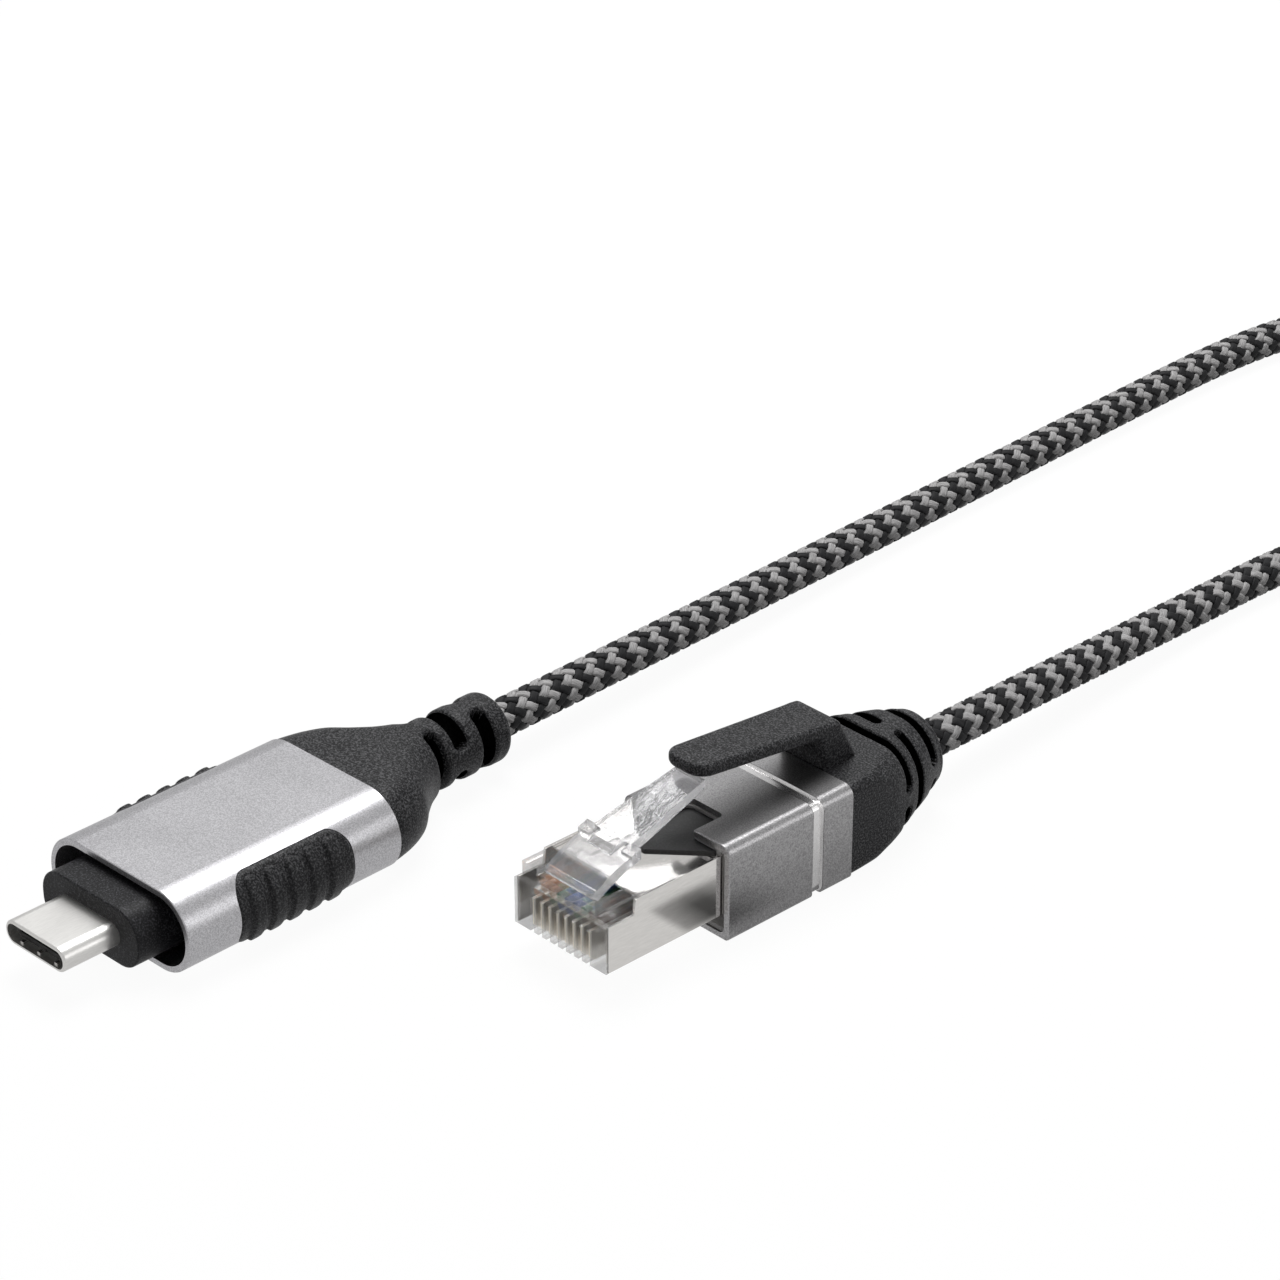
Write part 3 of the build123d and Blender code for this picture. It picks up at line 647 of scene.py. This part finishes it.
def make_groove_ring():
    """Polished cut faces in the groove round the plug's sleeve; the profile is y and depth below its skin."""
    angle = 2 * math.pi * np.arange(256) / 256
    profile = ((24.2, 0.32), (24.22, 0.02), (24.34, 0.26), (25.30, 0.285), (25.32, 0.285), (25.46, 0.01),
               (25.49, 0.32))
    half_w, half_h, z = 6.7, 4.8, 4.8
    y = np.array([p[0] for p in profile])
    radius = np.array([section_radius(angle, half_w - p[1], half_h - p[1], 1.0 - 0.6 * p[1]) for p in profile])
    bm = bmesh.new()
    rings = [[bm.verts.new((r * math.cos(a), yy, z + r * math.sin(a))) for a, r in zip(angle, ring)]
             for yy, ring in zip(y, radius)]
    inner = section_radius(angle, half_w - 0.4, half_h - 0.4, 0.7)
    rings.append([bm.verts.new((r * math.cos(a), 24.85, z + r * math.sin(a))) for a, r in zip(angle, inner)])
    n = len(angle)
    for k in range(len(rings)):
        here, there = rings[k], rings[(k + 1) % len(rings)]
        for j in range(n):
            bm.faces.new((here[j], there[j], there[(j + 1) % n], here[(j + 1) % n]))
    bmesh.ops.recalc_face_normals(bm, faces=bm.faces)
    mesh = bpy.data.meshes.new("groove_ring")
    bm.to_mesh(mesh)
    bm.free()
    mesh.transform(RJ_PLACE @ Matrix.Scale(MM, 4))
    mesh.materials.append(MATERIALS["cut_edge"])
    obj = bpy.data.objects.new("groove_ring", mesh)
    bpy.context.collection.objects.link(obj)
    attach(obj, BODY)


def make_grip(side):
    """Rubber pad in the sleeve's window: flush at its rim, with five upright ovals standing proud."""
    z0, r0, middle = 4.05, 4.05, 21.55
    half_l, half_h, corner = 6.55, 3.55, 1.9
    y = np.linspace(14.6, 28.5, 150)
    phi = np.linspace(math.radians(-68), math.radians(68), 104)
    yy, pp = np.meshgrid(y, phi, indexing="ij")
    zz = r0 * np.sin(pp)
    qx = np.abs(yy - middle) - (half_l - corner)
    qz = np.abs(zz) - (half_h - corner)
    rim = np.hypot(np.maximum(qx, 0), np.maximum(qz, 0)) + np.minimum(np.maximum(qx, qz), 0) - corner
    t = np.clip(-rim / 0.35, 0, 1)
    height = np.where(rim > 0, -0.04 - np.minimum(rim * 3, 0.35), -0.04 + 0.14 * t * (2 - t))
    for k in range(5):
        at = middle + (k - 2) * 2.25
        d = np.hypot(yy - at, np.maximum(np.abs(r0 * pp) - 2.75, 0)) - 0.78
        t = np.clip(-d / 0.22, 0, 1)
        height = height + 0.27 * np.sqrt(1 - (1 - t) ** 2) * (d < 0) - 0.07 * np.exp(-(d / 0.13) ** 2)
    grids = []
    for r in (r0 + height, np.full_like(height, 3.2)):
        grids.append(np.stack([side * (5.55 + r * np.cos(pp)), yy, z0 + r * np.sin(pp)], -1))
    rows, cols = yy.shape
    points = np.concatenate([g.reshape(-1, 3) for g in grids])
    i = np.arange(rows - 1)[:, None] * cols
    j = np.arange(cols - 1)[None, :]
    a = (i + j).reshape(-1)
    top = np.stack([a, a + cols, a + cols + 1, a + 1], -1)
    low = top[:, ::-1] + rows * cols
    rim_loop = np.concatenate([np.arange(cols), cols - 1 + cols * np.arange(1, rows),
                               (rows - 1) * cols + np.arange(cols - 2, -1, -1), cols * np.arange(rows - 2, 0, -1)])
    nxt = np.roll(rim_loop, -1)
    wall = np.stack([rim_loop, nxt, nxt + rows * cols, rim_loop + rows * cols], -1)
    faces = np.concatenate([top, low, wall])
    place = np.array(USB_PLACE)
    points = (place[:3, :3] @ (points.T * MM)).T + place[:3, 3]
    name = "grip_right" if side > 0 else "grip_left"
    obj = mesh_object(name, points, faces if side > 0 else faces[:, ::-1], None, (MATERIALS["black_rubber"],))
    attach(obj, BODY)
    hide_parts("usb_grip_right" if side > 0 else "usb_grip_left")


make_relief()
make_boot()
make_groove_ring()
make_grip(1)
make_grip(-1)


# ------------------------------------------------------------------ arm over the latch

# the arm's outline from the side, as y and z in mm
ARM_TIP_Y = 14.2
ARM_SIDE = ((ARM_TIP_Y, 14.36), (28.3, 12.83), (28.8, 12.65), (29.1, 12.25), (29.2, 11.7), (29.35, 8.7),
            (34.12, 8.7), (31.45, 13.86), (30.4, 13.97), (29.5, 14.02), (ARM_TIP_Y, 15.7))


def arm_half_width(y):
    """Half the arm's width at y: it widens towards its root."""
    return 2.45 + (2.83 - 2.45) * min(max((y - 15.0) / 13.0, 0.0), 1.0)


def even_shading(mesh):
    """Smooth normals led by the larger faces, so that flats stay flat beside their rounds."""
    normals = np.zeros((len(mesh.vertices), 3))
    for f in mesh.polygons:
        f.use_smooth = True
        for v in f.vertices:
            normals[v] += np.array(f.normal) * f.area
    normals /= np.maximum(np.linalg.norm(normals, axis=1), 1e-12)[:, None]
    mesh.normals_split_custom_set_from_vertices(normals.tolist())


def make_arm():
    """Arm and its root in one skin, cut across where the hinge stands in for its bend."""
    bm = bmesh.new()
    left = [bm.verts.new((-1.0, y, z)) for y, z in ARM_SIDE]
    right = [bm.verts.new((1.0, y, z)) for y, z in ARM_SIDE]
    bm.faces.new(left)
    bm.faces.new(list(reversed(right)))
    for k in range(len(ARM_SIDE)):
        j = (k + 1) % len(ARM_SIDE)
        bm.faces.new((left[j], left[k], right[k], right[j]))
    for v in bm.verts:
        v.co.x *= arm_half_width(v.co.y)
    bmesh.ops.recalc_face_normals(bm, faces=bm.faces)
    tips = [e for e in bm.edges if all(abs(v.co.y - ARM_TIP_Y) < 1e-4 for v in e.verts)
            and abs(e.verts[0].co.x - e.verts[1].co.x) < 1e-4]
    bmesh.ops.bevel(bm, geom=tips, offset=1.75, segments=9, profile=0.5, affect="EDGES")
    rims = [e for e in bm.edges if e.is_manifold and e.calc_face_angle() > math.radians(50)]
    bmesh.ops.bevel(bm, geom=rims, offset=0.52, segments=5, profile=0.5, affect="EDGES")
    for y in np.arange(27.4, 31.3, 0.3):   # cuts where the arm bends
        geom = list(bm.verts) + list(bm.edges) + list(bm.faces)
        bmesh.ops.bisect_plane(bm, geom=geom, plane_co=(0, float(y), 0), plane_no=(0, 1, 0))
    mesh = bpy.data.meshes.new("latch_arm_cover")
    bm.to_mesh(mesh)
    bm.free()
    mesh.transform(RJ_PLACE @ Matrix.Scale(MM, 4))
    mesh.materials.append(MATERIALS["black_boot"])
    obj = bpy.data.objects.new("latch_arm_cover", mesh)
    bpy.context.collection.objects.link(obj)
    even_shading(mesh)
    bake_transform(obj)
    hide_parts("rj_latch_arm")


make_arm()


# ------------------------------------------------------------------ stage

LAMP_AIM = Vector((0, 0, 5)) * MM


def lamp(name, direction, distance, width, height, radiance):
    """Soft rectangular light in a direction from the object, facing it."""
    light = bpy.data.lights.new(name, "AREA")
    light.shape = "RECTANGLE"
    light.size = width
    light.size_y = height
    light.energy = radiance * math.pi * width * height
    obj = bpy.data.objects.new(name, light)
    obj.location = LAMP_AIM + Vector(direction).normalized() * distance
    obj.rotation_euler = (LAMP_AIM - obj.location).to_track_quat("-Z", "Y").to_euler()
    bpy.context.collection.objects.link(obj)


def pale_when_seen(tree, seen, mirrored, lighting):
    """Strength of a pale surround: full where it is seen, dimmer mirrored (a number or a socket) or as light."""
    path = tree.nodes.new("ShaderNodeLightPath")
    value = None
    for ray, strength in (("Is Glossy Ray", mirrored), ("Is Diffuse Ray", lighting)):
        node = tree.nodes.new("ShaderNodeMapRange")
        if isinstance(strength, float):
            node.inputs["To Max"].default_value = strength
        else:
            tree.links.new(strength, node.inputs["To Max"])
        tree.links.new(path.outputs[ray], node.inputs["Value"])
        if value is None:
            node.inputs["To Min"].default_value = seen
        else:
            tree.links.new(value, node.inputs["To Min"])
        value = node.outputs["Result"]
    return value


def combined(tree, operation, first, second):
    node = tree.nodes.new("ShaderNodeMath")
    node.operation = operation
    tree.links.new(first, node.inputs[0])
    tree.links.new(second, node.inputs[1])
    return node.outputs["Value"]


# two overlapping patches of the network plug's shadow on the floor, in mm from the plug: how much dimmer,
# then where each fades in and out along X, then along Y
SHADOW = ((0.37, (8.2, 9.2), (13.9, 13.1), (11.9, 12.9), (24.0, 17.5)),
          (0.22, (4.0, 6.0), (14.5, 11.5), (13.0, 16.0), (48.0, 36.0)))


def sleeve_shade(tree, open_floor):
    """How bright the floor is in reflections: dimmer in the network plug's shadow, on the sleeve's right."""
    place = tree.nodes.new("ShaderNodeTexCoord")
    parts = tree.nodes.new("ShaderNodeSeparateXYZ")
    tree.links.new(place.outputs["Object"], parts.inputs["Vector"])
    level = None
    for drop, *fades in SHADOW:
        inside = None
        for axis, fade in zip("XXYY", fades):
            origin = RJ_PLACE.translation.x if axis == "X" else RJ_PLACE.translation.y
            edge = span(tree, parts.outputs[axis], 0.0, 1.0, [origin + at * MM for at in fade])
            inside = edge if inside is None else combined(tree, "MULTIPLY", inside, edge)
        if level is None:
            level = span(tree, inside, open_floor, open_floor - drop, (0.0, 1.0))
        else:
            level = combined(tree, "SUBTRACT", level, span(tree, inside, 0.0, drop, (0.0, 1.0)))
    return level


def make_stage():
    bpy.context.scene.view_settings.view_transform = "Standard"
    mesh = bpy.data.meshes.new("floor")
    half = 3.0
    mesh.from_pydata([(-half, -half, 0), (half, -half, 0), (half, half, 0), (-half, half, 0)], [], [(0, 1, 2, 3)])
    floor = bpy.data.objects.new("floor", mesh)
    bpy.context.collection.objects.link(floor)
    mat = bpy.data.materials.new("floor")
    mat.use_nodes = True
    tree = mat.node_tree
    shader = tree.nodes["Principled BSDF"]
    shader.inputs["Base Color"].default_value = (0.07, 0.07, 0.07, 1)
    shader.inputs["Roughness"].default_value = 0.9
    shader.inputs["Specular IOR Level"].default_value = 0.0
    shader.inputs["Emission Color"].default_value = (1, 1, 1, 1)
    tree.links.new(pale_when_seen(tree, 0.95, sleeve_shade(tree, 0.61), 0.02), shader.inputs["Emission Strength"])
    floor.data.materials.append(mat)
    world = bpy.data.worlds.new("studio")
    bpy.context.scene.world = world
    world.use_nodes = True
    sky = world.node_tree.nodes["Background"]
    sky.inputs["Color"].default_value = (1, 1, 1, 1)
    world.node_tree.links.new(pale_when_seen(world.node_tree, 1.0, 0.60, 0.13), sky.inputs["Strength"])
    lamp("card_right", (0.74, 0.60, 0.33), 0.5, 0.34, 0.20, 1.15)
    lamp("card_top", (-0.25, 0.30, 0.95), 0.5, 0.30, 0.30, 6.5)


make_stage()
